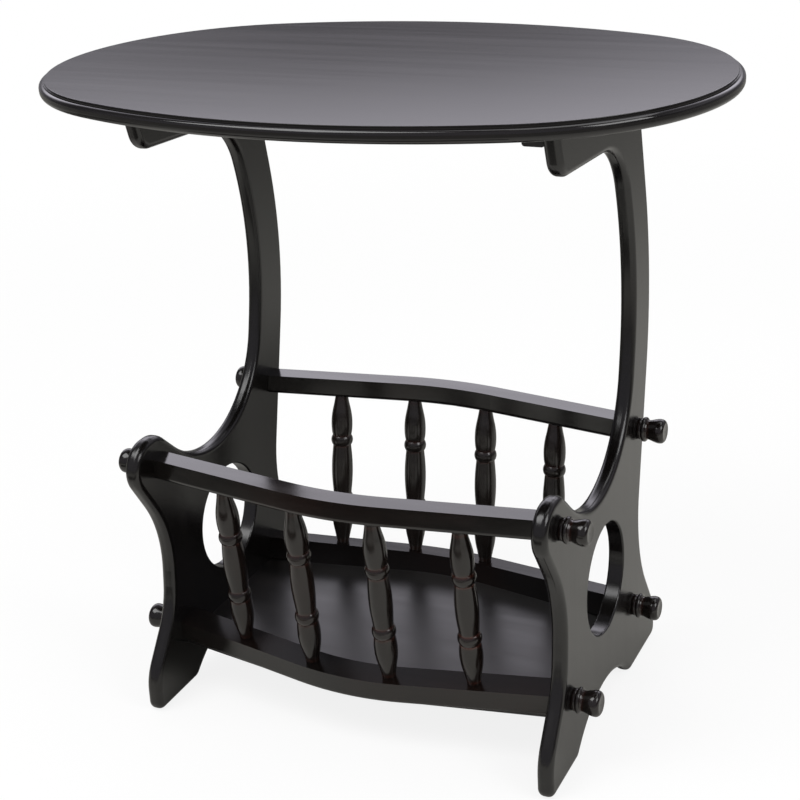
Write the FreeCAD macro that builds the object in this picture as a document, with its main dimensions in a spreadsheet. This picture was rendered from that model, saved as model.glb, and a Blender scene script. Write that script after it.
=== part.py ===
import FreeCAD, Part
import math
import os

# Oval side table with a magazine bin. Lengths are millimetres and angles are degrees.
# The origin lies on the floor under the middle of the top: X runs along the oval,
# -Y is the open front of the C shaped end panels and +Z is up.

V = FreeCAD.Vector
UP = V(0, 0, 1)

doc = FreeCAD.newDocument("side_table")
sheet = doc.addObject("Spreadsheet::Sheet", "sizes")

driving_sizes = (
    ("table_height", 552),
    # oval top and its moulded edge
    ("top_length", 590),
    ("top_depth", 402),
    ("top_thickness", 13),
    ("nosing_upper_round", 3.4),
    ("nosing_lower_round", 5),
    ("edge_step_height", 1.2),
    ("edge_step_width", 1.1),
    ("edge_ledge_width", 0.3),
    ("top_edge_break", 0.4),
    # shaped end panels
    ("panel_thickness", 13.8),
    ("panel_spacing", 349.8),
    ("panel_depth", 277),
    ("panel_reach", 150.1),
    ("panel_edge_round", 5.4),
    ("window_diameter", 96),
    ("window_edge_round", 1.5),
    # bowed rails
    ("rail_bend_width", 92),
    ("upper_rail_width", 18.6),
    ("upper_rail_height", 18.4),
    ("upper_rail_bend_angle", 8.6),
    ("upper_rail_round", 4),
    ("lower_rail_width", 22.2),
    ("lower_rail_height", 21),
    ("lower_rail_rise", 8.3),
    ("lower_rail_bend_angle", 9.9),
    ("lower_rail_tilt_angle", 9),
    ("lower_rail_round", 4),
    # floor of the bin
    ("shelf_thickness", 6),
    ("shelf_inset", 7),
    ("shelf_depth_below_rail_ends", 12.8),
    ("shelf_screw_spacing", 130),
    ("shelf_screw_inset", 3),
    ("shelf_edge_break", 0.8),
    # turned spindles
    ("spindle_pitch", 71.4),
    ("spindle_neck", 11.4),
    ("spindle_belly", 19.9),
    ("spindle_ring", 20.5),
    ("spindle_tenon", 11.6),
    # turned knobs on their threaded studs
    ("knob_length", 23.2),
    ("knob_diameter", 21.6),
    ("stud_diameter", 6),
    ("stud_in_knob", 15),
    ("stud_in_rail", 24),
    ("stud_chamfer", 0.8),
    # battens that hold the top
    ("cleat_width", 18),
    ("cleat_height", 22),
    ("cleat_length", 176),
    ("cleat_setback", 2),
    ("cleat_round", 2.5),
    # countersunk wood screws
    ("screw_diameter", 3.5),
    ("screw_head", 7),
    ("screw_point", 3),
    ("shelf_screw_length", 15),
    ("top_screw_length", 29),
    ("panel_screw_length", 26),
    # fits
    ("fit_clearance", 0.15),
    ("bore_clearance", 0.3),
    ("cut_overrun", 2),
)
for row, (alias, number) in enumerate(driving_sizes, start=1):
    sheet.set("A%d" % row, alias)
    sheet.set("B%d" % row, str(number))
    sheet.setAlias("B%d" % row, alias)
doc.recompute()


# Edges count as flat within the smallest edge break divided by this.
flatness_parts = 400
full_turn = 360


def size(alias):
    return float(sheet.get(alias))


def settle():
    """Recompute and stop at the first object that failed."""
    doc.recompute()
    for item in doc.Objects:
        if "Invalid" in item.State or "Error" in item.State:
            raise ValueError("%s failed: %s" % (item.Name, item.State))


def bind(item, prop, text):
    item.setExpression(prop, text)


# Outline of an end panel, counter-clockwise from the toe, as corners with a rounding.
# Each row is the distance back from the toe as a share of the panel's depth, the height
# as a share of the panel's height, and where the corner's arc starts and ends as a share
# of the shorter of the two sides that meet there.
panel_corner_shares = (
    (0.000, 0.000, 0.240),
    (0.000, 0.060, 0.420),
    (0.133, 0.153, 0.330),
    (0.158, 0.287, 0.515),
    (-0.068, 0.462, 0.750),
    (0.150, 0.462, 0.162),
    (0.463, 0.316, 0.724),
    (0.767, 0.462, 0.261),
    (0.860, 0.685, 0.629),
    (0.732, 0.900, 0.361),
    (0.220, 0.914, 0.257),
    (0.169, 1.000, 0.000),
    (0.882, 1.000, 0.000),
    (1.019, 0.652, 0.430),
    (0.819, 0.205, 0.552),
    (1.000, 0.061, 0.360),
    (1.000, 0.000, 0.280),
    (0.733, 0.000, 0.046),
    (0.489, 0.111, 0.937),
    (0.229, 0.000, 0.053),
)
# The under side of the arm starts at this row's corner.
arm_front_share = 0.220
# Places on the panel in the same shares: the rail ends and the round window.
upper_front_share = (0.133, 0.411)
upper_rear_share = (0.856, 0.4105)
lower_front_share = (0.199, 0.1125)
lower_rear_share = (0.782, 0.111)
window_share = (0.507, 0.233)

# The end arcs of the oval top, as a share of its depth.
oval_end_share = 0.448

# Half of a turned spindle, from its foot to its middle: height as a share of the length
# between the rails, then the diameter as a share of the belly's. The tulip and the belly
# meet at the ring, whose grooves are the last and the first row.
tulip_shares = (
    (0.044, 0.685),
    (0.071, 0.765),
    (0.097, 0.850),
    (0.123, 0.920),
    (0.150, 0.970),
    (0.184, 0.997),
    (0.215, 0.990),
    (0.245, 0.950),
    (0.270, 0.880),
)
belly_shares = (
    (0.336, 0.850),
    (0.373, 0.900),
    (0.415, 0.954),
    (0.460, 0.990),
    (0.500, 1.000),
)

# Places of the spindles to each side of the middle, as shares of their pitch.
spindle_pitch_shares = (-1.5, -0.5, 0.5, 1.5)

# Turned knob from the panel outwards: distance as a share of its length, then the
# diameter as a share of its widest. Its end is slightly dished, down to the last share.
knob_collar_shares = ((0.000, 0.800), (0.060, 0.860), (0.125, 0.830))
knob_bead_shares = ((0.130, 0.850), (0.215, 1.000), (0.310, 0.840))
knob_cove_shares = ((0.345, 0.785), (0.385, 0.780), (0.430, 0.800))
knob_barrel_shares = ((0.540, 0.872), (0.660, 0.945), (0.780, 0.985), (0.865, 0.970))
knob_end_shares = ((0.930, 0.915), (0.972, 0.830), (1.000, 0.700))
knob_dish_share = 0.984

# Screws along each lower rail, as shares of their spacing.
shelf_screw_shares = (-1, 0, 1)

# Screws along the battens, as shares of their length.
cleat_screw_shares = (0.12, 0.88)
panel_screw_shares = (0.30, 0.70)


def panel_height():
    return size("table_height") - size("top_thickness")


def panel_place(depth_share):
    return depth_share * size("panel_depth") - size("panel_reach")


def panel_point(share):
    return panel_place(share[0]), share[1] * panel_height()


def panel_corners():
    places = [panel_point(share) for share in panel_corner_shares]
    points = [V(y, z, 0) for y, z in places]
    corners = []
    for index, share in enumerate(panel_corner_shares):
        point = points[index]
        before = (points[index - 1] - point).Length
        after = (points[(index + 1) % len(points)] - point).Length
        corners.append((point, share[2] * min(before, after)))
    return corners


def rounded_outline(corners):
    """Lines and tangent arcs through corners given as (point, run): the arc touches both
    sides at that distance from the corner."""
    starts = []
    ends = []
    middles = []
    for index, (point, run) in enumerate(corners):
        before = (corners[index - 1][0] - point).normalize()
        after = (corners[(index + 1) % len(corners)][0] - point).normalize()
        half_angle = before.getAngle(after) / 2
        if run == 0:
            starts.append(point)
            ends.append(point)
            middles.append(None)
            continue
        bisector = (before + after).normalize()
        radius = run * math.tan(half_angle)
        starts.append(point + before * run)
        ends.append(point + after * run)
        middles.append(point + bisector * (run / math.cos(half_angle) - radius))
    pieces = []
    for index in range(len(corners)):
        if middles[index] is not None:
            pieces.append(Part.Arc(starts[index], middles[index], ends[index]))
        pieces.append(Part.LineSegment(ends[index], starts[(index + 1) % len(corners)]))
    return pieces


def origin_plane(body, role):
    for feature in body.Origin.OriginFeatures:
        if feature.Role == role:
            return feature


def new_body(name):
    return doc.addObject("PartDesign::Body", name)


def new_sketch(body, name, role, geometry):
    sketch = body.newObject("Sketcher::SketchObject", name)
    sketch.AttachmentSupport = (origin_plane(body, role), "")
    sketch.MapMode = "FlatFace"
    for piece in geometry:
        sketch.addGeometry(piece, False)
    return sketch


def new_pad(body, name, sketch, length):
    pad = body.newObject("PartDesign::Pad", name)
    pad.Profile = sketch
    bind(pad, "Length", length)
    return pad


def new_fillet(body, name, base, edges, radius):
    fillet = body.newObject("PartDesign::Fillet", name)
    fillet.Base = (base, edges)
    bind(fillet, "Radius", radius)
    settle()
    return fillet


def edge_names(shape, wanted):
    return ["Edge%d" % (index + 1) for index, edge in enumerate(shape.Edges) if wanted(edge)]


def flat_at(edge, axis, level):
    """Whether an edge lies in one plane square to the axis, to a small part of the board."""
    near = size("top_edge_break") / flatness_parts
    box = edge.BoundBox
    low, high = (box.XMin, box.XMax) if axis == "x" else (box.ZMin, box.ZMax)
    return abs(low - level) < near and abs(high - level) < near


def drill(name, start, direction, diameter, depth):
    """Cylinder that bores a hole from a point inside the wood's face outwards by the overrun."""
    tool = doc.addObject("Part::Cylinder", name)
    bind(tool, "Radius", "%s / 2 + sizes.fit_clearance" % diameter)
    bind(tool, "Height", "%s + sizes.cut_overrun" % depth)
    way = FreeCAD.Vector(direction).normalize()
    tool.Placement = FreeCAD.Placement(start - way * size("cut_overrun"), FreeCAD.Rotation(UP, way))
    return tool


def cut(name, blank, tools):
    settle()
    joined = doc.addObject("Part::MultiFuse", name + "_tools")
    joined.Shapes = tools
    part = doc.addObject("Part::Cut", name)
    part.Label = name
    part.Base = blank
    part.Tool = joined
    settle()
    if part.Shape.Volume >= blank.Shape.Volume:
        raise ValueError("the holes in %s cut nothing" % name)
    return part


# Places that several pieces share.
inner_face = size("panel_spacing") / 2
outer_face = inner_face + size("panel_thickness")
underside = panel_height()
sides = (("left", -1), ("right", 1))
rail_ends = {
    "upper_front": panel_point(upper_front_share),
    "upper_rear": panel_point(upper_rear_share),
    "lower_front": panel_point(lower_front_share),
    "lower_rear": panel_point(lower_rear_share),
}
outward = {"front": -1, "rear": 1}
shelf_top = rail_ends["lower_front"][1] - size("shelf_depth_below_rail_ends")
parts = []


def bend_radius(slope):
    return size("rail_bend_width") / 2 / math.sin(math.radians(slope))


def bow_of(slope):
    """How far the middle of a bowed rail stands out beyond its ends."""
    angle = math.radians(slope)
    straight = inner_face - size("rail_bend_width") / 2
    return bend_radius(slope) * (1 - math.cos(angle)) + straight * math.tan(angle)


def bow_at(x, slope):
    """Outward offset of a rail that is bent in its middle and has straight ends."""
    radius = bend_radius(slope)
    if abs(x) < size("rail_bend_width") / 2:
        return bow_of(slope) - radius + math.sqrt(radius ** 2 - x ** 2)
    return (inner_face - abs(x)) * math.tan(math.radians(slope))


def bowed_points(slope, offset, past):
    """Right end, bend and left end of a rail's edge, which runs past the rail's ends."""
    angle = math.radians(slope)
    radius = bend_radius(slope) + offset
    centre = bow_of(slope) - bend_radius(slope)
    bend = V(radius * math.sin(angle), centre + radius * math.cos(angle), 0)
    end = V(inner_face + past, offset / math.cos(angle) - past * math.tan(angle), 0)
    middle = V(0, centre + radius, 0)
    return end, bend, middle, V(-bend.x, bend.y, 0), V(-end.x, end.y, 0)


def bowed_outline(slope, outer_offset, inner_offset, way, past=0):
    outer = [V(point.x, point.y * way, 0) for point in bowed_points(slope, outer_offset, past)]
    inner = [V(point.x, point.y * way, 0) for point in bowed_points(slope, inner_offset, past)]
    return [
        Part.LineSegment(outer[0], outer[1]),
        Part.Arc(outer[1], outer[2], outer[3]),
        Part.LineSegment(outer[3], outer[4]),
        Part.LineSegment(outer[4], inner[4]),
        Part.LineSegment(inner[4], inner[3]),
        Part.Arc(inner[3], inner[2], inner[1]),
        Part.LineSegment(inner[1], inner[0]),
        Part.LineSegment(inner[0], outer[0]),
    ]


def oval(inset):
    """Four tangent arcs: two ends of the end radius and two flatter sides."""
    half_length = size("top_length") / 2
    half_depth = size("top_depth") / 2
    end_radius = size("top_depth") * oval_end_share
    squares = half_length ** 2 + half_depth ** 2 - 2 * half_length * end_radius
    flat_radius = squares / (2 * (half_depth - end_radius))
    end_centre = half_length - end_radius
    flat_centre = flat_radius - half_depth
    angle = math.atan2(flat_centre, end_centre)
    reach = end_radius - inset
    corner = V(end_centre + reach * math.cos(angle), reach * math.sin(angle), 0)
    right = V(end_centre + reach, 0, 0)
    front = V(0, flat_centre - flat_radius + inset, 0)
    quarter = (V(1, 1, 0), V(-1, 1, 0), V(-1, -1, 0), V(1, -1, 0))
    corners = [V(corner.x * q.x, corner.y * q.y, 0) for q in quarter]
    return [
        Part.Arc(corners[3], right, corners[0]),
        Part.Arc(corners[0], -front, corners[1]),
        Part.Arc(corners[1], -right, corners[2]),
        Part.Arc(corners[2], front, corners[3]),
    ]


def screw_shape(length):
    """Countersunk wood screw whose head lies in the plane Z = 0 and whose point is up."""
    shank = size("screw_diameter") / 2
    head = size("screw_head") / 2
    sink = head - shank
    outline = (
        V(0, 0, 0),
        V(head, 0, 0),
        V(shank, 0, sink),
        V(shank, 0, length - size("screw_point")),
        V(0, 0, length),
        V(0, 0, 0),
    )
    face = Part.Face(Part.makePolygon(outline))
    return face.revolve(V(0, 0, 0), UP, full_turn)


def screw_tools(name, start, direction, depth):
    """Clearance hole of a screw with its countersink."""
    way = FreeCAD.Vector(direction).normalize()
    sink = doc.addObject("Part::Cone", name + "_sink")
    bind(sink, "Radius1", "sizes.screw_head / 2 + sizes.fit_clearance")
    bind(sink, "Radius2", "sizes.screw_diameter / 2 + sizes.fit_clearance")
    bind(sink, "Height", "(sizes.screw_head - sizes.screw_diameter) / 2")
    sink.Placement = FreeCAD.Placement(start, FreeCAD.Rotation(UP, way))
    shank = drill(name + "_shank", start, way, "sizes.screw_diameter", depth)
    return [sink, shank]


def make_group(name, shapes):
    group = doc.addObject("Part::Feature", name)
    group.Label = name
    group.Shape = Part.Compound(shapes)
    parts.append(group)
    return group


# Places of the screws: (start, direction) for each group.
cleat_inner = inner_face - size("cleat_width")
cleat_middle = inner_face - size("cleat_width") / 2
cleat_bottom = underside - size("cleat_height")
cleat_front = panel_place(arm_front_share) - size("cleat_setback")
panel_screw_level = cleat_bottom + size("cleat_height") / 2

top_screws = []
panel_screws = []
for side_name, side in sides:
    for share in cleat_screw_shares:
        spot = cleat_front + share * size("cleat_length")
        top_screws.append((V(side * cleat_middle, spot, cleat_bottom), UP, side_name))
    for share in panel_screw_shares:
        spot = cleat_front + share * size("cleat_length")
        start = V(side * cleat_inner, spot, panel_screw_level)
        panel_screws.append((start, V(side, 0, 0), side_name))

shelf_screws = []
for depth_name, way in outward.items():
    for share in shelf_screw_shares:
        x = share * size("shelf_screw_spacing")
        bow = bow_at(x, size("lower_rail_bend_angle")) - size("shelf_screw_inset")
        y = rail_ends["lower_" + depth_name][0] + way * bow
        shelf_screws.append((V(x, y, shelf_top - size("shelf_thickness")), UP, depth_name))


# Oval top: a nosed board with two small steps up to the flat surface.
def make_top():
    body = new_body("table_top_blank")
    nosing = size("top_thickness") - 2 * size("edge_step_height")
    levels = (
        ("nosing", 0, 0, "sizes.top_thickness - 2 * sizes.edge_step_height"),
        ("step", size("nosing_upper_round") + size("edge_ledge_width"), nosing, "sizes.edge_step_height"),
        (
            "surface",
            size("nosing_upper_round") + size("edge_ledge_width") + size("edge_step_width"),
            nosing + size("edge_step_height"),
            "sizes.edge_step_height",
        ),
    )
    latest = None
    for name, inset, level, height in levels:
        sketch = new_sketch(body, "top_%s_outline" % name, "XY_Plane", oval(inset))
        sketch.AttachmentOffset = FreeCAD.Placement(V(0, 0, level), FreeCAD.Rotation())
        latest = new_pad(body, "top_%s" % name, sketch, height)
        settle()
        if name == "nosing":
            lower = edge_names(latest.Shape, lambda edge: flat_at(edge, "z", 0))
            latest = new_fillet(body, "nosing_bottom", latest, lower, "sizes.nosing_lower_round")
            upper = edge_names(latest.Shape, lambda edge: flat_at(edge, "z", nosing))
            latest = new_fillet(body, "nosing_top", latest, upper, "sizes.nosing_upper_round")
    rim = edge_names(latest.Shape, lambda edge: flat_at(edge, "z", size("top_thickness")))
    new_fillet(body, "surface_edge", latest, rim, "sizes.top_edge_break")
    body.Placement = FreeCAD.Placement(V(0, 0, underside), FreeCAD.Rotation())
    settle()
    tools = []
    into_top = "sizes.top_screw_length - sizes.cleat_height + sizes.bore_clearance"
    for index, (start, way, side_name) in enumerate(top_screws):
        spot = V(start.x, start.y, underside)
        tools.append(drill("top_pilot_%d" % index, spot, way, "sizes.screw_diameter", into_top))
    parts.append(cut("table_top", body, tools))


# End panels: one C shaped board each, with rounded edges and a round window.
def make_panel(side_name, side):
    body = new_body(side_name + "_panel_blank")
    curves = rounded_outline(panel_corners())
    outline = new_sketch(body, side_name + "_panel_outline", "YZ_Plane", curves)
    board = new_pad(body, side_name + "_panel_board", outline, "sizes.panel_thickness")
    settle()
    faces = (0, size("panel_thickness"))

    def on_face(edge):
        return any(flat_at(edge, "x", face) for face in faces)

    def rounded(edge):
        return on_face(edge) and not flat_at(edge, "z", underside)

    rim = edge_names(board.Shape, rounded)
    board = new_fillet(body, side_name + "_panel_rim", board, rim, "sizes.panel_edge_round")
    y, z = panel_point(window_share)
    circle = Part.Circle(V(y, z, 0), UP, size("window_diameter") / 2)
    window = new_sketch(body, side_name + "_window_outline", "YZ_Plane", [circle])
    pocket = body.newObject("PartDesign::Pocket", side_name + "_window")
    pocket.Profile = window
    pocket.Reversed = True
    bind(pocket, "Length", "sizes.panel_thickness")
    settle()
    ring = size("window_diameter") * math.pi

    def window_edge(edge):
        return on_face(edge) and abs(edge.Length - ring) < size("fit_clearance")

    lips = edge_names(pocket.Shape, window_edge)
    new_fillet(body, side_name + "_window_lip", pocket, lips, "sizes.window_edge_round")
    start = inner_face if side > 0 else -outer_face
    body.Placement = FreeCAD.Placement(V(start, 0, 0), FreeCAD.Rotation())
    settle()
    tools = []
    for end_name, (end_y, end_z) in rail_ends.items():
        spot = V(side * inner_face, end_y, end_z)
        name = "%s_%s_stud_hole" % (side_name, end_name)
        reach = "sizes.panel_thickness + sizes.cut_overrun"
        tools.append(drill(name, spot, V(side, 0, 0), "sizes.stud_diameter", reach))
    into_panel = "sizes.panel_screw_length - sizes.cleat_width + sizes.bore_clearance"
    for index, (screw_start, way, screw_side) in enumerate(panel_screws):
        if screw_side == side_name:
            spot = V(side * inner_face, screw_start.y, screw_start.z)
            name = "panel_pilot_%d" % index
            tools.append(drill(name, spot, way, "sizes.screw_diameter", into_panel))
    parts.append(cut(side_name + "_end_panel", body, tools))


# Places where a spindle meets the rails, on the rails' centre lines.
def spindle_ends(depth_name, x):
    way = outward[depth_name]
    tilt = math.radians(size("lower_rail_tilt_angle"))
    foot_y, foot_z = rail_ends["lower_" + depth_name]
    low_bow = bow_at(x, size("lower_rail_bend_angle"))
    rise = size("lower_rail_rise")
    foot = V(
        x,
        foot_y + way * (low_bow * math.cos(tilt) + rise * math.sin(tilt)),
        foot_z - low_bow * math.sin(tilt) + rise * math.cos(tilt),
    )
    head_y, head_z = rail_ends["upper_" + depth_name]
    head_bow = bow_at(x, size("upper_rail_bend_angle"))
    head = V(x, head_y + way * head_bow, head_z - size("upper_rail_height") / 2)
    return foot, head


spindle_places = [size("spindle_pitch") * share for share in spindle_pitch_shares]


def end_bores(name, y, z):
    tools = []
    for side_name, side in sides:
        bore = "%s_%s_bore" % (name, side_name)
        spot = V(side * inner_face, y, z)
        depth = "sizes.stud_in_rail + sizes.bore_clearance"
        tools.append(drill(bore, spot, V(-side, 0, 0), "sizes.stud_diameter", depth))
    return tools


def lengthwise_edges(shape, level):
    """Edges along a rail's whole run that lie at one level."""
    least = size("upper_rail_width")
    return edge_names(shape, lambda edge: flat_at(edge, "z", level) and edge.BoundBox.XLength > least)


def outer_edges(shape, level, slope, way):
    """Those of the lengthwise edges that lie on the outer side of the bow."""
    names = []
    for name in lengthwise_edges(shape, level):
        edge = shape.getElement(name)
        points = [vertex.Point for vertex in edge.Vertexes]
        if all(point.y * way > bow_at(point.x, slope) for point in points):
            names.append(name)
    return names


# Upper rails: bars bent outward in plan, rounded below and bored for the spindles.
def make_upper_rail(depth_name):
    name = "upper_%s_rail" % depth_name
    way = outward[depth_name]
    end_y, end_z = rail_ends["upper_" + depth_name]
    half_width = size("upper_rail_width") / 2
    body = new_body(name + "_blank")
    outline = bowed_outline(size("upper_rail_bend_angle"), half_width, -half_width, way)
    sketch = new_sketch(body, name + "_outline", "XY_Plane", outline)
    bar = new_pad(body, name + "_bar", sketch, "sizes.upper_rail_height")
    settle()
    low = lengthwise_edges(bar.Shape, 0)
    new_fillet(body, name + "_lower_round", bar, low, "sizes.upper_rail_round")
    base = end_z - size("upper_rail_height") / 2
    body.Placement = FreeCAD.Placement(V(0, end_y, base), FreeCAD.Rotation())
    settle()
    tools = end_bores(name, end_y, end_z)
    depth = "sizes.spindle_tenon + sizes.bore_clearance"
    for index, x in enumerate(spindle_places):
        foot, head = spindle_ends(depth_name, x)
        socket = "%s_socket_%d" % (name, index + 1)
        tools.append(drill(socket, head, head - foot, "sizes.spindle_neck", depth))
    parts.append(cut(name, body, tools))


# Lower rails: bent bars that lean outward, square to the spindles, with a level rebate
# below for the floor of the bin.
def make_lower_rail(depth_name):
    name = "lower_%s_rail" % depth_name
    way = outward[depth_name]
    end_y, end_z = rail_ends["lower_" + depth_name]
    slope = size("lower_rail_bend_angle")
    half_width = size("lower_rail_width") / 2
    body = new_body(name + "_blank")
    outline = bowed_outline(slope, half_width, -half_width, way)
    sketch = new_sketch(body, name + "_outline", "XY_Plane", outline)
    sketch.AttachmentOffset = FreeCAD.Placement(V(0, 0, -size("lower_rail_height")), FreeCAD.Rotation())
    bar = new_pad(body, name + "_bar", sketch, "sizes.lower_rail_height")
    settle()
    low = outer_edges(bar.Shape, -size("lower_rail_height"), slope, way)
    new_fillet(body, name + "_lower_round", bar, low, "sizes.lower_rail_round")
    lean = FreeCAD.Rotation(V(1, 0, 0), -way * size("lower_rail_tilt_angle"))
    rise = lean.multVec(V(0, 0, size("lower_rail_rise")))
    body.Placement = FreeCAD.Placement(V(0, end_y, end_z) + rise, lean)
    settle()
    edge_offset = half_width - size("shelf_inset") + size("fit_clearance")
    past = size("cut_overrun")
    room = bowed_outline(slope, edge_offset, -size("lower_rail_width"), way, past)
    floor = doc.addObject("Sketcher::SketchObject", name + "_rebate_outline")
    for piece in room:
        floor.addGeometry(piece, False)
    floor.Placement = FreeCAD.Placement(V(0, end_y, shelf_top), FreeCAD.Rotation())
    rebate = doc.addObject("Part::Extrusion", name + "_rebate")
    rebate.Base = floor
    rebate.Solid = True
    rebate.DirMode = "Custom"
    rebate.Dir = V(0, 0, -1)
    bind(rebate, "LengthFwd", "sizes.lower_rail_height")
    tools = end_bores(name, end_y, end_z)
    tools.append(rebate)
    depth = "sizes.spindle_tenon + sizes.bore_clearance"
    for index, x in enumerate(spindle_places):
        foot, head = spindle_ends(depth_name, x)
        socket = "%s_socket_%d" % (name, index + 1)
        tools.append(drill(socket, foot, foot - head, "sizes.spindle_neck", depth))
    into_rail = "sizes.shelf_screw_length - sizes.shelf_thickness + sizes.bore_clearance"
    for index, (start, up, screw_depth) in enumerate(shelf_screws):
        if screw_depth == depth_name:
            spot = V(start.x, start.y, shelf_top)
            pilot = "shelf_pilot_%d" % index
            tools.append(drill(pilot, spot, up, "sizes.screw_diameter", into_rail))
    parts.append(cut(name, body, tools))


# Floor of the bin: a thin board let into the lower rails, so that it follows their bow.
def make_shelf():
    front = rail_ends["lower_front"][0]
    rear = rail_ends["lower_rear"][0]
    middle = (front + rear) / 2
    edge_offset = size("lower_rail_width") / 2 - size("shelf_inset")
    edge = bowed_points(size("lower_rail_bend_angle"), edge_offset, 0)
    far = [V(point.x, rear - middle + point.y, 0) for point in edge]
    near = [V(point.x, front - middle - point.y, 0) for point in edge]
    outline = [
        Part.LineSegment(far[0], far[1]),
        Part.Arc(far[1], far[2], far[3]),
        Part.LineSegment(far[3], far[4]),
        Part.LineSegment(far[4], near[4]),
        Part.LineSegment(near[4], near[3]),
        Part.Arc(near[3], near[2], near[1]),
        Part.LineSegment(near[1], near[0]),
        Part.LineSegment(near[0], far[0]),
    ]
    body = new_body("bottom_shelf_blank")
    sketch = new_sketch(body, "shelf_outline", "XY_Plane", outline)
    board = new_pad(body, "shelf_board", sketch, "sizes.shelf_thickness")
    settle()
    rim = lengthwise_edges(board.Shape, 0)
    new_fillet(body, "shelf_edge", board, rim, "sizes.shelf_edge_break")
    base = shelf_top - size("shelf_thickness")
    body.Placement = FreeCAD.Placement(V(0, middle, base), FreeCAD.Rotation())
    settle()
    tools = []
    reach_up = "sizes.shelf_thickness + sizes.cut_overrun"
    for index, (start, up, depth_name) in enumerate(shelf_screws):
        tools += screw_tools("shelf_hole_%d" % index, start, up, reach_up)
    parts.append(cut("bottom_shelf", body, tools))


def smooth(points):
    curve = Part.BSplineCurve()
    curve.interpolate(points)
    return curve


# Turned spindles: one revolved profile whose length follows the rails at its place.
def make_spindle(name, foot, head):
    length = (head - foot).Length
    neck = size("spindle_neck") / 2
    tenon = size("spindle_tenon")
    belly = size("spindle_belly") / 2

    def at(row, mirrored):
        height = (1 - row[0] if mirrored else row[0]) * length
        return V(row[1] * belly, height, 0)

    def ring(low, high):
        return Part.Arc(low, V(size("spindle_ring") / 2, (low.y + high.y) / 2, 0), high)

    lower = [V(neck, 0, 0)] + [at(row, False) for row in tulip_shares]
    upper = [V(neck, length, 0)] + [at(row, True) for row in tulip_shares]
    upper.reverse()
    middle = [at(row, False) for row in belly_shares]
    middle += [at(row, True) for row in reversed(belly_shares[:-1])]
    bottom = V(neck, -tenon, 0)
    top = V(neck, length + tenon, 0)
    profile = [
        Part.LineSegment(V(0, -tenon, 0), bottom),
        Part.LineSegment(bottom, lower[0]),
        smooth(lower),
        ring(lower[-1], middle[0]),
        smooth(middle),
        ring(middle[-1], upper[0]),
        smooth(upper),
        Part.LineSegment(upper[-1], top),
        Part.LineSegment(top, V(0, length + tenon, 0)),
        Part.LineSegment(V(0, length + tenon, 0), V(0, -tenon, 0)),
    ]
    placement = FreeCAD.Placement(foot, FreeCAD.Rotation(UP, head - foot))
    parts.append(turned(name, profile, placement))


def turned(name, profile, placement):
    body = new_body(name + "_body")
    body.Label = name
    sketch = new_sketch(body, name + "_profile", "XZ_Plane", profile)
    turning = body.newObject("PartDesign::Revolution", name + "_turning")
    turning.Profile = sketch
    turning.ReferenceAxis = (sketch, ["V_Axis"])
    turning.Angle = full_turn
    body.Placement = placement
    return body


# Turned knobs: a collar, a bead, a cove and a flared barrel, bored for the stud.
def make_knob(name, side, y, z):
    length = size("knob_length")
    radius = size("knob_diameter") / 2
    bore = size("stud_diameter") / 2 + size("fit_clearance")
    bore_depth = size("stud_in_knob") + size("bore_clearance")

    def row_points(rows):
        return [V(width * radius, distance * length, 0) for distance, width in rows]

    collar = row_points(knob_collar_shares)
    bead = row_points(knob_bead_shares)
    cove = row_points(knob_cove_shares)
    end = row_points(knob_end_shares)
    barrel = [cove[-1]] + row_points(knob_barrel_shares)
    rim = end[-1]
    bottom = V(0, knob_dish_share * length, 0)
    dish_depth = rim.y - bottom.y
    dish_radius = (rim.x ** 2 + dish_depth ** 2) / (2 * dish_depth)
    sag = dish_radius - math.sqrt(dish_radius ** 2 - (rim.x / 2) ** 2)
    profile = [
        Part.LineSegment(V(bore, 0, 0), collar[0]),
        Part.Arc(*collar),
        Part.LineSegment(collar[-1], bead[0]),
        Part.Arc(*bead),
        Part.LineSegment(bead[-1], cove[0]),
        Part.Arc(*cove),
        smooth(barrel),
        smooth([barrel[-1]] + end),
        Part.Arc(rim, V(rim.x / 2, bottom.y + sag, 0), bottom),
        Part.LineSegment(bottom, V(0, bore_depth, 0)),
        Part.LineSegment(V(0, bore_depth, 0), V(bore, bore_depth, 0)),
        Part.LineSegment(V(bore, bore_depth, 0), V(bore, 0, 0)),
    ]
    placement = FreeCAD.Placement(V(side * outer_face, y, z), FreeCAD.Rotation(UP, V(side, 0, 0)))
    parts.append(turned(name, profile, placement))


# Battens under the top, one along each arm.
def make_cleat(side_name, side):
    body = new_body(side_name + "_cleat_blank")
    half = size("cleat_width") / 2
    corners = (
        (V(-half, 0, 0), size("cleat_round")),
        (V(half, 0, 0), size("cleat_round")),
        (V(half, size("cleat_height"), 0), 0),
        (V(-half, size("cleat_height"), 0), 0),
    )
    sketch = new_sketch(body, side_name + "_cleat_section", "XZ_Plane", rounded_outline(corners))
    bar = new_pad(body, side_name + "_cleat_bar", sketch, "sizes.cleat_length")
    bar.Reversed = True
    corner = V(side * cleat_middle, cleat_front, cleat_bottom)
    body.Placement = FreeCAD.Placement(corner, FreeCAD.Rotation())
    settle()
    tools = []
    for index, (start, way, screw_side) in enumerate(top_screws):
        if screw_side == side_name:
            reach = "sizes.cleat_height + sizes.cut_overrun"
            tools += screw_tools("cleat_up_%d" % index, start, way, reach)
    for index, (start, way, screw_side) in enumerate(panel_screws):
        if screw_side == side_name:
            reach = "sizes.cleat_width + sizes.cut_overrun"
            tools += screw_tools("cleat_side_%d" % index, start, way, reach)
    parts.append(cut(side_name + "_top_cleat", body, tools))


def placed_screw(length, start, way):
    screw = screw_shape(length)
    screw.Placement = FreeCAD.Placement(start, FreeCAD.Rotation(UP, way))
    return screw


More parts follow.
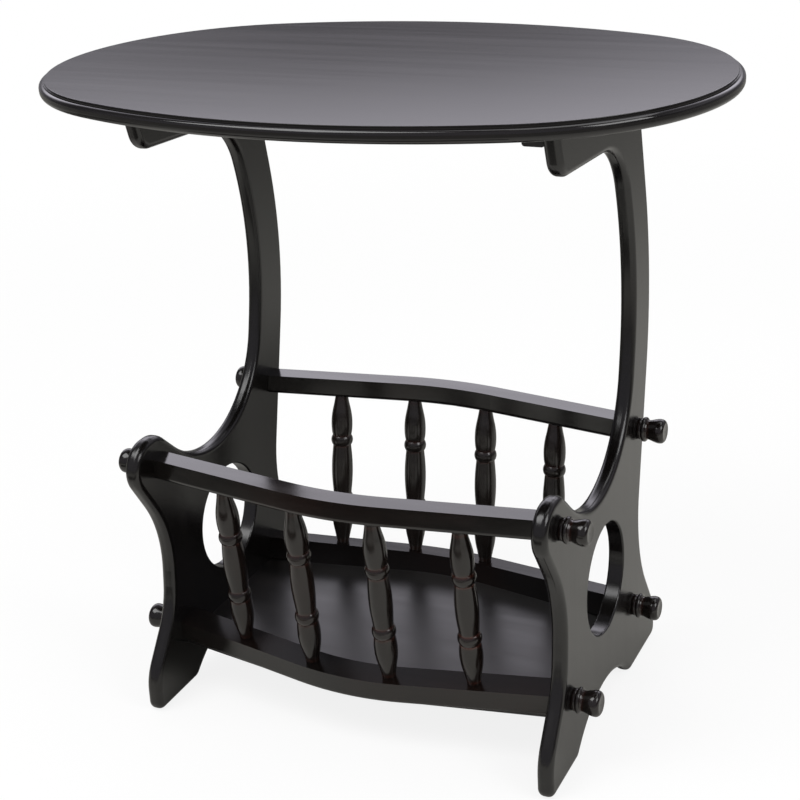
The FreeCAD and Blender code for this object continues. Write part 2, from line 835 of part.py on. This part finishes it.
def make_fasteners():
    shelf = [placed_screw(size("shelf_screw_length"), start, way) for start, way, where in shelf_screws]
    make_group("shelf_screws", shelf)
    top = [placed_screw(size("top_screw_length"), start, way) for start, way, where in top_screws]
    make_group("cleat_to_top_screws", top)
    panel = [placed_screw(size("panel_screw_length"), start, way) for start, way, where in panel_screws]
    make_group("cleat_to_panel_screws", panel)
    studs = []
    length = size("stud_in_knob") + size("panel_thickness") + size("stud_in_rail")
    for side_name, side in sides:
        for end_y, end_z in rail_ends.values():
            stud = Part.makeCylinder(size("stud_diameter") / 2, length)
            rims = [edge for edge in stud.Edges if edge.Closed]
            stud = stud.makeChamfer(size("stud_chamfer"), rims)
            start = V(side * (inner_face - size("stud_in_rail")), end_y, end_z)
            stud.Placement = FreeCAD.Placement(start, FreeCAD.Rotation(UP, V(side, 0, 0)))
            studs.append(stud)
    make_group("knob_studs", studs)


make_top()
for side_name, side in sides:
    make_panel(side_name, side)
    make_cleat(side_name, side)
for depth_name in outward:
    make_upper_rail(depth_name)
    make_lower_rail(depth_name)
make_shelf()
for depth_name in outward:
    for index, x in enumerate(spindle_places):
        foot, head = spindle_ends(depth_name, x)
        make_spindle("%s_spindle_%d" % (depth_name, index + 1), foot, head)
for side_name, side in sides:
    for end_name, (end_y, end_z) in rail_ends.items():
        make_knob("%s_%s_knob" % (side_name, end_name), side, end_y, end_z)
make_fasteners()

settle()
os.makedirs("parts", exist_ok=True)
for part in parts:
    if part.Shape.isNull() or not part.Shape.isValid():
        raise ValueError("%s has no valid shape" % part.Label)
    part.Shape.exportStep("parts/%s.step" % part.Label)
    solids = len(part.Shape.Solids)
    print("%-26s %d solid(s) %10.1f mm3" % (part.Label, solids, part.Shape.Volume))
print("%d sub-parts" % len(parts))
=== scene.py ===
import math

import bmesh
import bpy
from mathutils import Matrix, Vector


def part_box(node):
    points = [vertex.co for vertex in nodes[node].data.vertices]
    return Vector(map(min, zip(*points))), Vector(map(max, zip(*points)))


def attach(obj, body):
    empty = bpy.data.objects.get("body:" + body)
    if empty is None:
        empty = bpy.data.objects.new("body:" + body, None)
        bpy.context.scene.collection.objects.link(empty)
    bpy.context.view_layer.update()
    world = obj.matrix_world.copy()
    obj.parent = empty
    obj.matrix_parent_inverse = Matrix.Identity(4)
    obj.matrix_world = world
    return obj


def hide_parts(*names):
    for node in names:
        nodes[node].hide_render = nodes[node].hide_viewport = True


# Oval side table with a magazine bin, in dark satin lacquer. Lengths are metres.
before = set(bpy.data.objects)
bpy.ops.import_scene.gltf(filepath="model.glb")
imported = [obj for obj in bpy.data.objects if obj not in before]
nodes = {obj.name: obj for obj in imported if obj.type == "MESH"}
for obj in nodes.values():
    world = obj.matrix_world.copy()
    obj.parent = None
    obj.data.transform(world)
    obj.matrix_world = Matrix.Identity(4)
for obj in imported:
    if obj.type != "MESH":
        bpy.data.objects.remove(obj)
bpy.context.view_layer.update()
alongX, alongY, alongZ = Vector((1, 0, 0)), Vector((0, 1, 0)), Vector((0, 0, 1))
print("frame:", len(nodes), "nodes")


def addObject(name, data):
    added = bpy.data.objects.new(name, data)
    bpy.context.scene.collection.objects.link(added)
    return added


# Camera at the photograph's angle: turns in degrees, lens in millimetres.
cameraValues = {
    "place": (0.59781, -1.21780, 0.82660),
    "azimuth": 25.804,
    "elevation": 17.996,
    "roll": -3.19,
    "lens": 76.334,
    "shiftY": -0.175,
    "clipStart": 0.05,
    "clipEnd": 40,
}


def addCamera(values):
    azimuth = math.radians(values["azimuth"])
    elevation = math.radians(values["elevation"])
    roll = math.radians(values["roll"])
    right = Vector((math.cos(azimuth), math.sin(azimuth), 0))
    level = Vector((-math.sin(azimuth), math.cos(azimuth), 0))
    forward = level * math.cos(elevation) - alongZ * math.sin(elevation)
    up = right.cross(forward)
    sideways = right * math.cos(roll) + up * math.sin(roll)
    upward = up * math.cos(roll) - right * math.sin(roll)
    data = bpy.data.cameras.new("photoCamera")
    data.lens = values["lens"]
    data.shift_y = values["shiftY"]
    data.clip_start = values["clipStart"]
    data.clip_end = values["clipEnd"]
    camera = addObject("photoCamera", data)
    turn = Matrix((sideways, upward, -forward)).transposed().to_4x4()
    camera.matrix_world = Matrix.Translation(Vector(values["place"])) @ turn
    bpy.context.scene.camera = camera


addCamera(cameraValues)
bpy.context.scene.view_settings.view_transform = "Standard"
print("camera placed")


# Empties the node tree of a material or world and gives it its output.
def startTree(owner, outputKind):
    owner.use_nodes = True
    tree = owner.node_tree
    tree.nodes.clear()
    return tree, tree.nodes.new(outputKind)


def startMaterial(name):
    material = bpy.data.materials.new(name)
    tree, output = startTree(material, "ShaderNodeOutputMaterial")
    return material, tree, output


# Adds a node, sets its settings, and sets or links its inputs by name or number.
def addNode(tree, kind, inputs=None, **settings):
    node = tree.nodes.new(kind)
    for name, value in settings.items():
        setattr(node, name, value)
    for name, value in (inputs or {}).items():
        if isinstance(value, bpy.types.NodeSocket):
            tree.links.new(value, node.inputs[name])
        else:
            node.inputs[name].default_value = value
    return node


def calculate(tree, operation, *values):
    node = addNode(tree, "ShaderNodeMath", dict(enumerate(values)), operation=operation)
    return node.outputs["Value"]


# The result is "Vector" or "Value", whichever the operation gives.
def calculateVector(tree, operation, result, inputs):
    return addNode(tree, "ShaderNodeVectorMath", inputs, operation=operation).outputs[result]


# How far along a run from its start a place lies, as a share of the run.
def shareAlong(tree, place, start, run):
    offset = calculateVector(tree, "SUBTRACT", "Vector", {0: place, 1: start})
    return calculateVector(tree, "DOT_PRODUCT", "Value", {0: offset, 1: run / run.length_squared})


# Carries a value from a span over to two levels, in a straight line or smoothly.
def mapRange(tree, value, span, levels, kind="LINEAR"):
    node = addNode(tree, "ShaderNodeMapRange", {
        "Value": value, "From Min": span[0], "From Max": span[1],
        "To Min": levels[0], "To Max": levels[1]}, interpolation_type=kind)
    return node.outputs["Result"]


# Grey levels between (position, level) stops. The first two are the ones a new ramp has.
def addRamp(tree, value, stops):
    ramp = addNode(tree, "ShaderNodeValToRGB", {"Fac": value})
    elements = ramp.color_ramp.elements
    for index, (position, level) in enumerate(stops):
        element = elements[index] if index < 2 else elements.new(position)
        element.position = position
        element.color = (level, level, level, 1)
    return ramp.outputs["Color"]


def addNoise(tree, place, values):
    return addNode(tree, "ShaderNodeTexNoise", {"Vector": place, **values}).outputs["Fac"]


def mixValues(tree, factor, first, second):
    mix = addNode(tree, "ShaderNodeMix", {"Factor": factor, "A": first, "B": second})
    return mix.outputs["Result"]


def mixColours(tree, factor, first, second):
    mix = addNode(tree, "ShaderNodeMix", {"Factor": factor}, data_type="RGBA")
    ends = [socket for socket in mix.inputs if socket.type == "RGBA"]
    for socket, colour in zip(ends, (first, second)):
        if isinstance(colour, bpy.types.NodeSocket):
            tree.links.new(colour, socket)
        else:
            socket.default_value = (*colour, 1)
    return [socket for socket in mix.outputs if socket.type == "RGBA"][0]


# Stained and lacquered wood: the stain's dark and light tones, the reddish tone where it
# lies thin and how much of it shows, the lacquer's roughness range, and the strengths of
# the grain's and the lacquer skin's relief.
lacquerValues = {
    "topLacquer": {
        "dark": (0.0046, 0.0041, 0.0044), "light": (0.0072, 0.0062, 0.0062),
        "thin": (0.012, 0.007, 0.006), "thinShare": 0.15,
        "rough": (0.09, 0.12), "relief": 0.06, "skin": 0.06,
    },
    "panelLacquer": {
        "dark": (0.0026, 0.0022, 0.0021), "light": (0.0040, 0.0033, 0.0030),
        "thin": (0.010, 0.005, 0.004), "thinShare": 0.15,
        "rough": (0.20, 0.23), "relief": 0.05, "skin": 0.08,
    },
    "railLacquer": {
        "dark": (0.0026, 0.0021, 0.0019), "light": (0.0050, 0.0036, 0.0030),
        "thin": (0.017, 0.007, 0.005), "thinShare": 0.35,
        "rough": (0.14, 0.19), "relief": 0.12, "skin": 0.12,
    },
    "shelfLacquer": {
        "dark": (0.0042, 0.0036, 0.0036), "light": (0.0070, 0.0056, 0.0052),
        "thin": (0.015, 0.007, 0.005), "thinShare": 0.25,
        "rough": (0.30, 0.36), "relief": 0.10, "skin": 0.12,
    },
    "turnedLacquer": {
        "dark": (0.0044, 0.0034, 0.0030), "light": (0.0086, 0.0058, 0.0047),
        "thin": (0.024, 0.009, 0.006), "thinShare": 0.22,
        "rough": (0.16, 0.21), "relief": 0.16, "skin": 0.12,
    },
    # The rear spindles take a lighter copy of the turned lacquer: painted light on the rear row, not a
    # different stain.
    "rearTurnedLacquerPaintedLight": {
        "dark": (0.0105, 0.0085, 0.0074), "light": (0.0165, 0.0125, 0.0105),
        "thin": (0.030, 0.014, 0.010), "thinShare": 0.25,
        "rough": (0.20, 0.26), "relief": 0.16, "skin": 0.12,
    },
    "knobLacquer": {
        "dark": (0.0042, 0.0033, 0.0030), "light": (0.0075, 0.0055, 0.0047),
        "thin": (0.018, 0.008, 0.0055), "thinShare": 0.10,
        "rough": (0.15, 0.20), "relief": 0.08, "skin": 0.08,
    },
    "cleatLacquer": {
        "dark": (0.0040, 0.0033, 0.0031), "light": (0.0075, 0.0055, 0.0047),
        "thin": (0.016, 0.007, 0.005), "thinShare": 0.30,
        "rough": (0.30, 0.38), "relief": 0.18, "skin": 0.14,
    },
}
# The wood's noises, with scales in cycles per metre: the figure and the pores are drawn out
# along the grain by the stretch. The spans are the parts of the figure's range that carry
# the stain and the gloss, and of the cloud's range that carry the thin patches.
woodValues = {
    "stretch": 0.035,
    "figure": {"Scale": 90, "Detail": 6, "Roughness": 0.62, "Distortion": 0.25},
    "pores": {"Scale": 900, "Detail": 3, "Roughness": 0.55},
    "cloud": {"Scale": 9, "Detail": 3, "Roughness": 0.5},
    "skin": {"Scale": 300, "Detail": 2, "Roughness": 0.45},
    "stainSpan": (0.30, 0.70),
    "thinSpan": (0.50, 0.72),
    "glossSpan": (0.35, 0.65),
    "poreDepth": 0.00005,
    "skinDepth": 0.00010,
    "refraction": 1.5,
    "grooveTone": (0.045, 0.013, 0.008),
}


# Bands around a turned piece at shares of its length, as a mask of 0 to 1.
def grooveMask(tree, place, start, end, bands):
    stops = [(0, 0), (1, 0)]
    for centre, halfWidth, strength in bands:
        low, high = max(centre - halfWidth, 0), min(centre + halfWidth, 1)
        stops += [(low, 0), (centre, strength), (high, 0)]
    return addRamp(tree, shareAlong(tree, place, start, end - start), stops)


# The turning, if any, is the start, the end and the bands of a grooveMask.
def lacquerMaterial(name, values, grain, turning=None):
    wood = woodValues
    material, tree, output = startMaterial(name)
    place = addNode(tree, "ShaderNodeTexCoord").outputs["Object"]
    turn = grain.rotation_difference(alongX).to_euler()
    across = addNode(tree, "ShaderNodeMapping", {"Vector": place, "Rotation": turn}).outputs["Vector"]
    along = addNode(tree, "ShaderNodeMapping", {"Vector": across, "Scale": (wood["stretch"], 1, 1)})
    figure = addNoise(tree, along.outputs["Vector"], wood["figure"])
    pores = addNoise(tree, along.outputs["Vector"], wood["pores"])
    cloud = addNoise(tree, across, wood["cloud"])
    skin = addNoise(tree, place, wood["skin"])
    stain = mapRange(tree, figure, wood["stainSpan"], (0, 1))
    colour = mixColours(tree, stain, values["dark"], values["light"])
    patch = mapRange(tree, cloud, wood["thinSpan"], (0, values["thinShare"]))
    colour = mixColours(tree, patch, colour, values["thin"])
    if turning:
        colour = mixColours(tree, grooveMask(tree, place, *turning), colour, wood["grooveTone"])
    gloss = mapRange(tree, figure, wood["glossSpan"], values["rough"])
    skinBump = addNode(tree, "ShaderNodeBump", {
        "Height": skin, "Strength": values["skin"], "Distance": wood["skinDepth"]})
    poreBump = addNode(tree, "ShaderNodeBump", {
        "Height": pores, "Strength": values["relief"], "Distance": wood["poreDepth"],
        "Normal": skinBump.outputs["Normal"]})
    surface = addNode(tree, "ShaderNodeBsdfPrincipled", {
        "Base Color": colour, "Roughness": gloss, "Normal": poreBump.outputs["Normal"],
        "IOR": wood["refraction"]})
    tree.links.new(surface.outputs["BSDF"], output.inputs["Surface"])
    return material


zincValues = {
    "tone": (0.56, 0.56, 0.55, 1),
    "rough": (0.26, 0.42),
    "grain": {"Scale": 900, "Detail": 3},
}


def zincMaterial(name, values):
    material, tree, output = startMaterial(name)
    place = addNode(tree, "ShaderNodeTexCoord").outputs["Object"]
    gloss = mapRange(tree, addNoise(tree, place, values["grain"]), (0, 1), values["rough"])
    surface = addNode(tree, "ShaderNodeBsdfPrincipled", {
        "Base Color": values["tone"], "Metallic": 1.0, "Roughness": gloss})
    tree.links.new(surface.outputs["BSDF"], output.inputs["Surface"])
    return material


# Finishes by a word in the node's name; the metal pieces take the zinc one.
plainFinishes = {
    word: lacquerMaterial(name, lacquerValues[name], grain)
    for word, name, grain in (
        ("top_cleat", "cleatLacquer", alongY),
        ("end_panel", "panelLacquer", alongZ),
        ("table_top", "topLacquer", alongX),
        ("shelf", "shelfLacquer", alongX),
        ("rail", "railLacquer", alongX),
    )
}
zincFinish = zincMaterial("zincSteel", zincValues)

# Reddish bands of thin stain on the turned pieces: (share of the length, half width,
# strength). The redness scales them, and is strongest on the last front spindle. The tenon
# is what a spindle's end has inside a rail. The end is made up of the points within the
# slack, and the spindle's direction is found in a few passes.
spindleValues = {
    "tenon": 0.0116,
    "endSlack": 0.0004,
    "passes": 3,
    "plainRedness": 0.5,
    "redness": {"front_spindle_4": 1.2, "front_spindle_3": 0.7},
    "bands": (
        (0.015, 0.022, 0.50), (0.268, 0.014, 0.75), (0.338, 0.012, 0.75),
        (0.662, 0.012, 0.75), (0.732, 0.014, 0.75), (0.985, 0.022, 0.50),
    ),
}
knobValues = {
    "bands": ((0.02, 0.03, 0.25), (0.125, 0.03, 0.40), (0.385, 0.10, 0.30)),
}


# Middle of the end of a turned piece that lies farthest along a direction.
def farEnd(node, way, slack):
    reach = max(vertex.co.dot(way) for vertex in node.data.vertices)
    ring = [vertex.co for vertex in node.data.vertices if vertex.co.dot(way) > reach - slack]
    return sum(ring, Vector()) / len(ring)


# Points where a spindle's shoulders meet the rails, found from its two flat ends.
def spindleShoulders(node, values):
    way = alongZ
    for turn in range(values["passes"]):
        foot, head = [farEnd(node, way * side, values["endSlack"]) for side in (-1, 1)]
        way = (head - foot).normalized()
    return foot + way * values["tenon"], head - way * values["tenon"]


# Middles of a knob's two ends, the one on the panel first.
def knobEnds(node):
    low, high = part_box(node.name)
    middle = (Vector(low) + Vector(high)) / 2
    side = math.copysign(1, middle.x)
    return [Vector((side * reach, middle.y, middle.z)) for reach in sorted((abs(low[0]), abs(high[0])))]


def finishOf(name, node):
    if "spindle" in name:
        foot, head = spindleShoulders(node, spindleValues)
        redness = spindleValues["redness"].get(name, spindleValues["plainRedness"])
        bands = [(*place, strength * redness) for *place, strength in spindleValues["bands"]]
        # the rear spindles get the lighter copy, which is painted light
        values = lacquerValues["rearTurnedLacquerPaintedLight" if name.startswith("rear") else "turnedLacquer"]
        return lacquerMaterial(name + "Lacquer", values, head - foot, (foot, head, bands))
    if name.endswith("knob"):
        turning = (*knobEnds(node), knobValues["bands"])
        return lacquerMaterial(name + "Lacquer", lacquerValues["knobLacquer"], alongX, turning)
    for word, finish in plainFinishes.items():
        if word in name and "screws" not in name:
            return finish
    return zincFinish


# Screws and threaded studs, modelled where the plain ones of the CAD lie. Their parts run
# into each other by the overlap, and the recess is the cross in a screw's head. Two ends
# whose radii differ by less than evenEnds count as the same.
fastenerValues = {
    "sides": 28,
    "overlap": 0.0001,
    "mergeDistance": 0.000001,
    "evenEnds": 0.0001,
    "threadPoints": 16,
    "threadSides": 4,
    "screw": {
        "Radius": 0.00175, "Thread": 0.00040, "Pitch": 0.0014, "Head": 0.0035, "Neck": 0.00175,
        "Head Depth": 0.00175, "Point": 0.003, "Tip": 0.0002, "Recess": True,
    },
    "stud": {
        "Radius": 0.0030, "Thread": 0.00040, "Pitch": 0.0010, "Head": 0.0022, "Neck": 0.0026,
        "Head Depth": 0.0008, "Point": 0.0008, "Tip": 0.0022, "Recess": False,
    },
    "recess": {"arm": 0.0036, "blade": 0.0008, "depth": 0.0013},
    "kinds": {
        "shelf_screws": "screw", "cleat_to_top_screws": "screw", "cleat_to_panel_screws": "screw",
        "knob_studs": "stud",
    },
}


def fastenerTree(values):
    tree = bpy.data.node_groups.new("fastener", "GeometryNodeTree")
    kinds = {"Points": "Geometry", "Length": "Float", "Material": "Material"}
    kinds.update({name: "Bool" if name == "Recess" else "Float" for name in values["screw"]})
    for name, kind in kinds.items():
        tree.interface.new_socket(name, in_out="INPUT", socket_type="NodeSocket" + kind)
    tree.interface.new_socket("Mesh", in_out="OUTPUT", socket_type="NodeSocketGeometry")
    given = addNode(tree, "NodeGroupInput").outputs
    overlap = values["overlap"]

    def plus(first, second):
        return calculate(tree, "ADD", first, second)

    def minus(first, second):
        return calculate(tree, "SUBTRACT", first, second)

    def raised(shape, height):
        offset = addNode(tree, "ShaderNodeCombineXYZ", {"Z": height}).outputs["Vector"]
        moved = addNode(tree, "GeometryNodeTransform", {"Geometry": shape, "Translation": offset})
        return moved.outputs["Geometry"]

    def cone(bottom, top, depth):
        shape = addNode(tree, "GeometryNodeMeshCone", {
            "Vertices": values["sides"], "Radius Bottom": bottom, "Radius Top": top, "Depth": depth})
        return shape.outputs["Mesh"]

    # head, with the cross cut out on a screw by two blades, half of each above the face
    head = cone(given["Head"], given["Neck"], given["Head Depth"])
    cut = addNode(tree, "GeometryNodeMeshBoolean", {"Mesh 1": head, "Self Intersection": True},
                  operation="DIFFERENCE", solver="EXACT")
    arm, blade, depth = [values["recess"][name] for name in ("arm", "blade", "depth")]
    for size in ((arm, blade, depth * 2), (blade, arm, depth * 2)):
        cube = addNode(tree, "GeometryNodeMeshCube", {"Size": size})
        tree.links.new(cube.outputs["Mesh"], cut.inputs["Mesh 2"])
    head = addNode(tree, "GeometryNodeSwitch", {
        "Switch": given["Recess"], "False": head, "True": cut.outputs["Mesh"]},
        input_type="GEOMETRY").outputs["Output"]
    # core and tip below it, and the thread around the core, clear of both its ends
    core = minus(given["Radius"], given["Thread"])
    start = minus(given["Head Depth"], overlap)
    end = minus(given["Length"], given["Point"])
    run = minus(end, start)
    shank = raised(cone(core, core, run), start)
    tip = raised(cone(core, given["Tip"], plus(given["Point"], overlap)), minus(end, overlap))
    ridge = minus(run, plus(given["Thread"], given["Thread"]))
    rounds = calculate(tree, "DIVIDE", ridge, given["Pitch"])
    spiral = addNode(tree, "GeometryNodeCurveSpiral", {
        "Resolution": values["threadPoints"], "Rotations": rounds,
        "Start Radius": core, "End Radius": core, "Height": ridge}).outputs["Curve"]
    spiral = addNode(tree, "GeometryNodeSetCurveNormal", {"Curve": spiral}, mode="Z_UP").outputs["Curve"]
    profile = addNode(tree, "GeometryNodeCurvePrimitiveCircle", {
        "Resolution": values["threadSides"], "Radius": given["Thread"]}).outputs["Curve"]
    thread = addNode(tree, "GeometryNodeCurveToMesh", {
        "Curve": spiral, "Profile Curve": profile, "Fill Caps": True}).outputs["Mesh"]
    thread = raised(thread, plus(start, given["Thread"]))
    whole = addNode(tree, "GeometryNodeJoinGeometry")
    for shape in (head, shank, tip, thread):
        tree.links.new(shape, whole.inputs["Geometry"])
    # one on each point, turned along the point's direction
    way = addNode(tree, "GeometryNodeInputNamedAttribute", {"Name": "way"}, data_type="FLOAT_VECTOR")
    turn = addNode(tree, "FunctionNodeAlignRotationToVector", {
        "Vector": way.outputs["Attribute"]}, axis="Z")
    placed = addNode(tree, "GeometryNodeInstanceOnPoints", {
        "Points": given["Points"], "Instance": whole.outputs["Geometry"],
        "Rotation": turn.outputs["Rotation"]})
    real = addNode(tree, "GeometryNodeRealizeInstances", {"Geometry": placed.outputs["Instances"]})
    finished = addNode(tree, "GeometryNodeSetMaterial", {
        "Geometry": real.outputs["Geometry"], "Material": given["Material"]})
    addNode(tree, "NodeGroupOutput", {"Mesh": finished.outputs["Geometry"]})
    return tree


# Start, direction and length of each separate solid in a node, from a merged copy. A solid
# starts at its wider end, or at the lower end of its axis where both ends are the same.
def solidAxes(node, values):
    work = bmesh.new()
    work.from_mesh(node.data)
    bmesh.ops.remove_doubles(work, verts=work.verts, dist=values["mergeDistance"])
    seen, found = set(), []
    for first in work.verts:
        if first in seen:
            continue
        seen.add(first)
        points, waiting = [], [first]
        while waiting:
            vertex = waiting.pop()
            points.append(vertex.co.copy())
            beside = [edge.other_vert(vertex) for edge in vertex.link_edges]
            waiting += [other for other in beside if other not in seen]
            seen.update(beside)
        low = Vector([min(point[axis] for point in points) for axis in range(3)])
        high = Vector([max(point[axis] for point in points) for axis in range(3)])
        middle, spans = (low + high) / 2, high - low
        axis = max(range(3), key=lambda side: spans[side])
        way = Vector([side == axis for side in range(3)])
        radii = []
        for side in (-1, 1):
            half = [point - middle for point in points if (point - middle).dot(way) * side > 0]
            radii.append(max(offset.cross(way).length for offset in half))
        if radii[1] - radii[0] > values["evenEnds"]:
            way = -way
        found.append((middle - way * spans[axis] / 2, way, spans[axis]))
    work.free()
    return found


def addFasteners(values):
    tree = fastenerTree(values)
    items = tree.interface.items_tree
    sockets = {item.name: item.identifier for item in items if item.in_out == "INPUT"}
    for name, kind in values["kinds"].items():
        axes = solidAxes(nodes[name], values)
        points = bpy.data.meshes.new(name + "Points")
        points.from_pydata([start for start, way, length in axes], [], [])
        ways = points.attributes.new("way", "FLOAT_VECTOR", "POINT")
        ways.data.foreach_set("vector", [number for start, way, length in axes for number in way])
        source = addObject(name + "Source", points)
        modifier = source.modifiers.new("fastener", "NODES")
        modifier.node_group = tree
        modifier[sockets["Length"]] = axes[0][2]
        modifier[sockets["Material"]] = zincFinish
        for label, value in values[kind].items():
            modifier[sockets[label]] = value
        depsgraph = bpy.context.evaluated_depsgraph_get()
        mesh = bpy.data.meshes.new_from_object(source.evaluated_get(depsgraph))
        bpy.data.objects.remove(source)
        # the cone's and the cube's own empty slots are dropped
        mesh.materials.clear()
        mesh.materials.append(zincFinish)
        mesh.polygons.foreach_set("material_index", [0] * len(mesh.polygons))
        piece = addObject(name + "Threaded", mesh)
        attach(piece, "root")
        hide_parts(name)
        print("fasteners:", name, len(axes), "pieces,", len(mesh.polygons), "faces")


addFasteners(fastenerValues)

for name, node in nodes.items():
    finish = finishOf(name, node)
    for index in range(len(node.data.materials)):
        node.data.materials[index] = finish
print("finishes on", len(nodes), "nodes")


# Pale floor. Camera rays see its own light for most of its white, more so far from the
# table, and the diffuse share under the lamps keeps the table's shadow. Reflections see a
# painted pool of light on it that fades far out, and painted shade that darkens it in strips
# in front of the table, to its left and behind it.
floorValues = {
    "half": 6,
    "tone": (0.95, 0.95, 0.95),
    "reflectedTone": (0.97, 0.95, 0.89),
    "ownLight": (0.85, 1.0),
    "ownLightReach": (0.6, 2.0),
    "fadeCentre": (0.05, -0.1, 0),
    "fadeReach": (0.3, 2.2),
    "fadeLevel": (0.75, 0.40),
    # painted shade in strips for reflections: the table's shadow in front of it and behind it, and a
    # darker floor to its left
    "paintedShades": (
        {"start": (-0.50, -0.52, 0), "end": (0.22, -0.68, 0), "reach": (0.08, 0.18), "level": 0.03},
        {"start": (-1.20, -0.50, 0), "end": (-0.75, 0.80, 0), "reach": (0.10, 0.50), "level": 0.2},
        {"start": (-0.25, 0.35, 0), "end": (-0.05, 0.60, 0), "reach": (0.08, 0.40), "level": 0.25},
    ),
}


def addFloor(values):
    half = values["half"]
    mesh = bpy.data.meshes.new("floor")
    corners = [(x * half, y * half, 0) for x, y in ((-1, -1), (1, -1), (1, 1), (-1, 1))]
    mesh.from_pydata(corners, [], [list(range(len(corners)))])
    floor = addObject("floor", mesh)
    material, tree, output = startMaterial("paleFloor")
    path = addNode(tree, "ShaderNodeLightPath").outputs
    place = addNode(tree, "ShaderNodeTexCoord").outputs["Object"]

    def ring(middle, reach, levels):
        away = calculateVector(tree, "DISTANCE", "Value", {0: place, 1: middle})
        return mapRange(tree, away, reach, levels, "SMOOTHSTEP")

    # the nearest point of the strip's middle line stands in for a ring's middle
    def strip(shade):
        start = Vector(shade["start"])
        run = Vector(shade["end"]) - start
        share = addNode(tree, "ShaderNodeClamp", {"Value": shareAlong(tree, place, start, run)})
        nearest = calculateVector(tree, "SCALE", "Vector", {0: run, "Scale": share.outputs["Result"]})
        middle = calculateVector(tree, "ADD", "Vector", {0: nearest, 1: start})
        return ring(middle, shade["reach"], (shade["level"], 1))

    # painted light seen only in reflections: a pool that fades far out, darkened by the strips of
    # painted shade
    reflected = ring(values["fadeCentre"], values["fadeReach"], values["fadeLevel"])
    for shade in values["paintedShades"]:
        reflected = calculate(tree, "MULTIPLY", reflected, strip(shade))
    level = mixValues(tree, path["Is Glossy Ray"], 1.0, reflected)
    tone = mixColours(tree, path["Is Glossy Ray"], values["tone"], values["reflectedTone"])
    tone = mixColours(tree, level, (0, 0, 0), tone)
    matt = addNode(tree, "ShaderNodeBsdfDiffuse", {"Color": tone})
    bright = addNode(tree, "ShaderNodeEmission", {"Strength": 1.0})
    ownLight = ring((0, 0, 0), values["ownLightReach"], values["ownLight"])
    mix = addNode(tree, "ShaderNodeMixShader", {
        "Fac": calculate(tree, "MULTIPLY", path["Is Camera Ray"], ownLight),
        1: matt.outputs["BSDF"], 2: bright.outputs["Emission"]})
    tree.links.new(mix.outputs["Shader"], output.inputs["Surface"])
    mesh.materials.append(material)


# Studio surroundings: white to the camera, a soft fill for the light on the object, and for
# reflections a plain level in front of the table, a lower one elsewhere and a backdrop
# behind it, whose light changes with height (as the sine of the elevation), glows low down
# on both sides of the camera's line of sight and ends farther out.
worldValues = {
    "fill": 0.5,
    "front": {"edge": (-0.7, -0.1), "level": (0.40, 0.12)},
    "reflectedTone": (1.0, 0.97, 1.07),
    "back": {"edge": (0.0, 0.35), "peak": 2.4},
    "backdrop": (
        (0.0, 0.06), (0.165, 0.03), (0.200, 0.12), (0.235, 0.39), (0.31, 0.80), (0.38, 0.96),
        (0.47, 0.85), (0.56, 0.50), (0.71, 0.10), (1.0, 0.10),
    ),
    "sideways": (0.905, 0.425, 0),
    "glow": {"edge": (0.03, 0.22), "level": 0.16},
    "backdropEnd": {"edge": (0.42, 0.72), "level": 0.15},
}


def addWorld(values):
    world = bpy.data.worlds.new("studio")
    tree, output = startTree(world, "ShaderNodeOutputWorld")
    path = addNode(tree, "ShaderNodeLightPath").outputs
    direction = addNode(tree, "ShaderNodeTexCoord").outputs["Generated"]
    way = addNode(tree, "ShaderNodeSeparateXYZ", {"Vector": direction}).outputs
    front, back, glow, far = [values[name] for name in ("front", "back", "glow", "backdropEnd")]
    sideways = calculateVector(tree, "DOT_PRODUCT", "Value", {0: direction, 1: values["sideways"]})
    sideways = calculate(tree, "ABSOLUTE", sideways)

    def smooth(value, edge, levels):
        return mapRange(tree, value, edge, levels, "SMOOTHSTEP")

    def times(first, second):
        return calculate(tree, "MULTIPLY", first, second)

    backdrop = addRamp(tree, way["Z"], values["backdrop"])
    backdrop = times(backdrop, smooth(way["Y"], back["edge"], (0, back["peak"])))
    backdrop = times(backdrop, smooth(sideways, far["edge"], (1, far["level"])))
    low = smooth(sideways, glow["edge"], (0, glow["level"]))
    low = times(low, smooth(way["Y"], back["edge"], (0, 1)))
    plain = smooth(way["Y"], front["edge"], front["level"])
    sky = calculate(tree, "MAXIMUM", calculate(tree, "ADD", backdrop, low), plain)
    level = mixValues(tree, path["Is Glossy Ray"], values["fill"], sky)
    level = mixValues(tree, path["Is Camera Ray"], level, 1.0)
    tone = mixColours(tree, path["Is Glossy Ray"], (1, 1, 1), values["reflectedTone"])
    background = addNode(tree, "ShaderNodeBackground", {"Color": tone, "Strength": level})
    tree.links.new(background.outputs["Background"], output.inputs["Surface"])
    bpy.context.scene.world = world


# Square softboxes aimed at the middle of the table: watts, and sizes in metres.
lampAim = Vector((0, 0, 0.3))
lampValues = {
    "keySoftbox": {"place": (-0.76, -0.86, 2.15), "size": 1.3, "power": 28},
    "sideSoftbox": {"place": (1.6, -0.4, 1.4), "size": 0.9, "power": 13},
    "topSoftbox": {"place": (0.5, 0.5, 2.6), "size": 1.6, "power": 14},
}


def addLamps(values):
    for name, lamp in values.items():
        data = bpy.data.lights.new(name, "AREA")
        data.shape = "SQUARE"
        data.size = lamp["size"]
        data.energy = lamp["power"]
        light = addObject(name, data)
        light.location = lamp["place"]
        light.rotation_euler = (lampAim - light.location).to_track_quat("-Z", "Y").to_euler()


addFloor(floorValues)
addWorld(worldValues)
addLamps(lampValues)
print("floor, surroundings and", len(lampValues), "lamps")
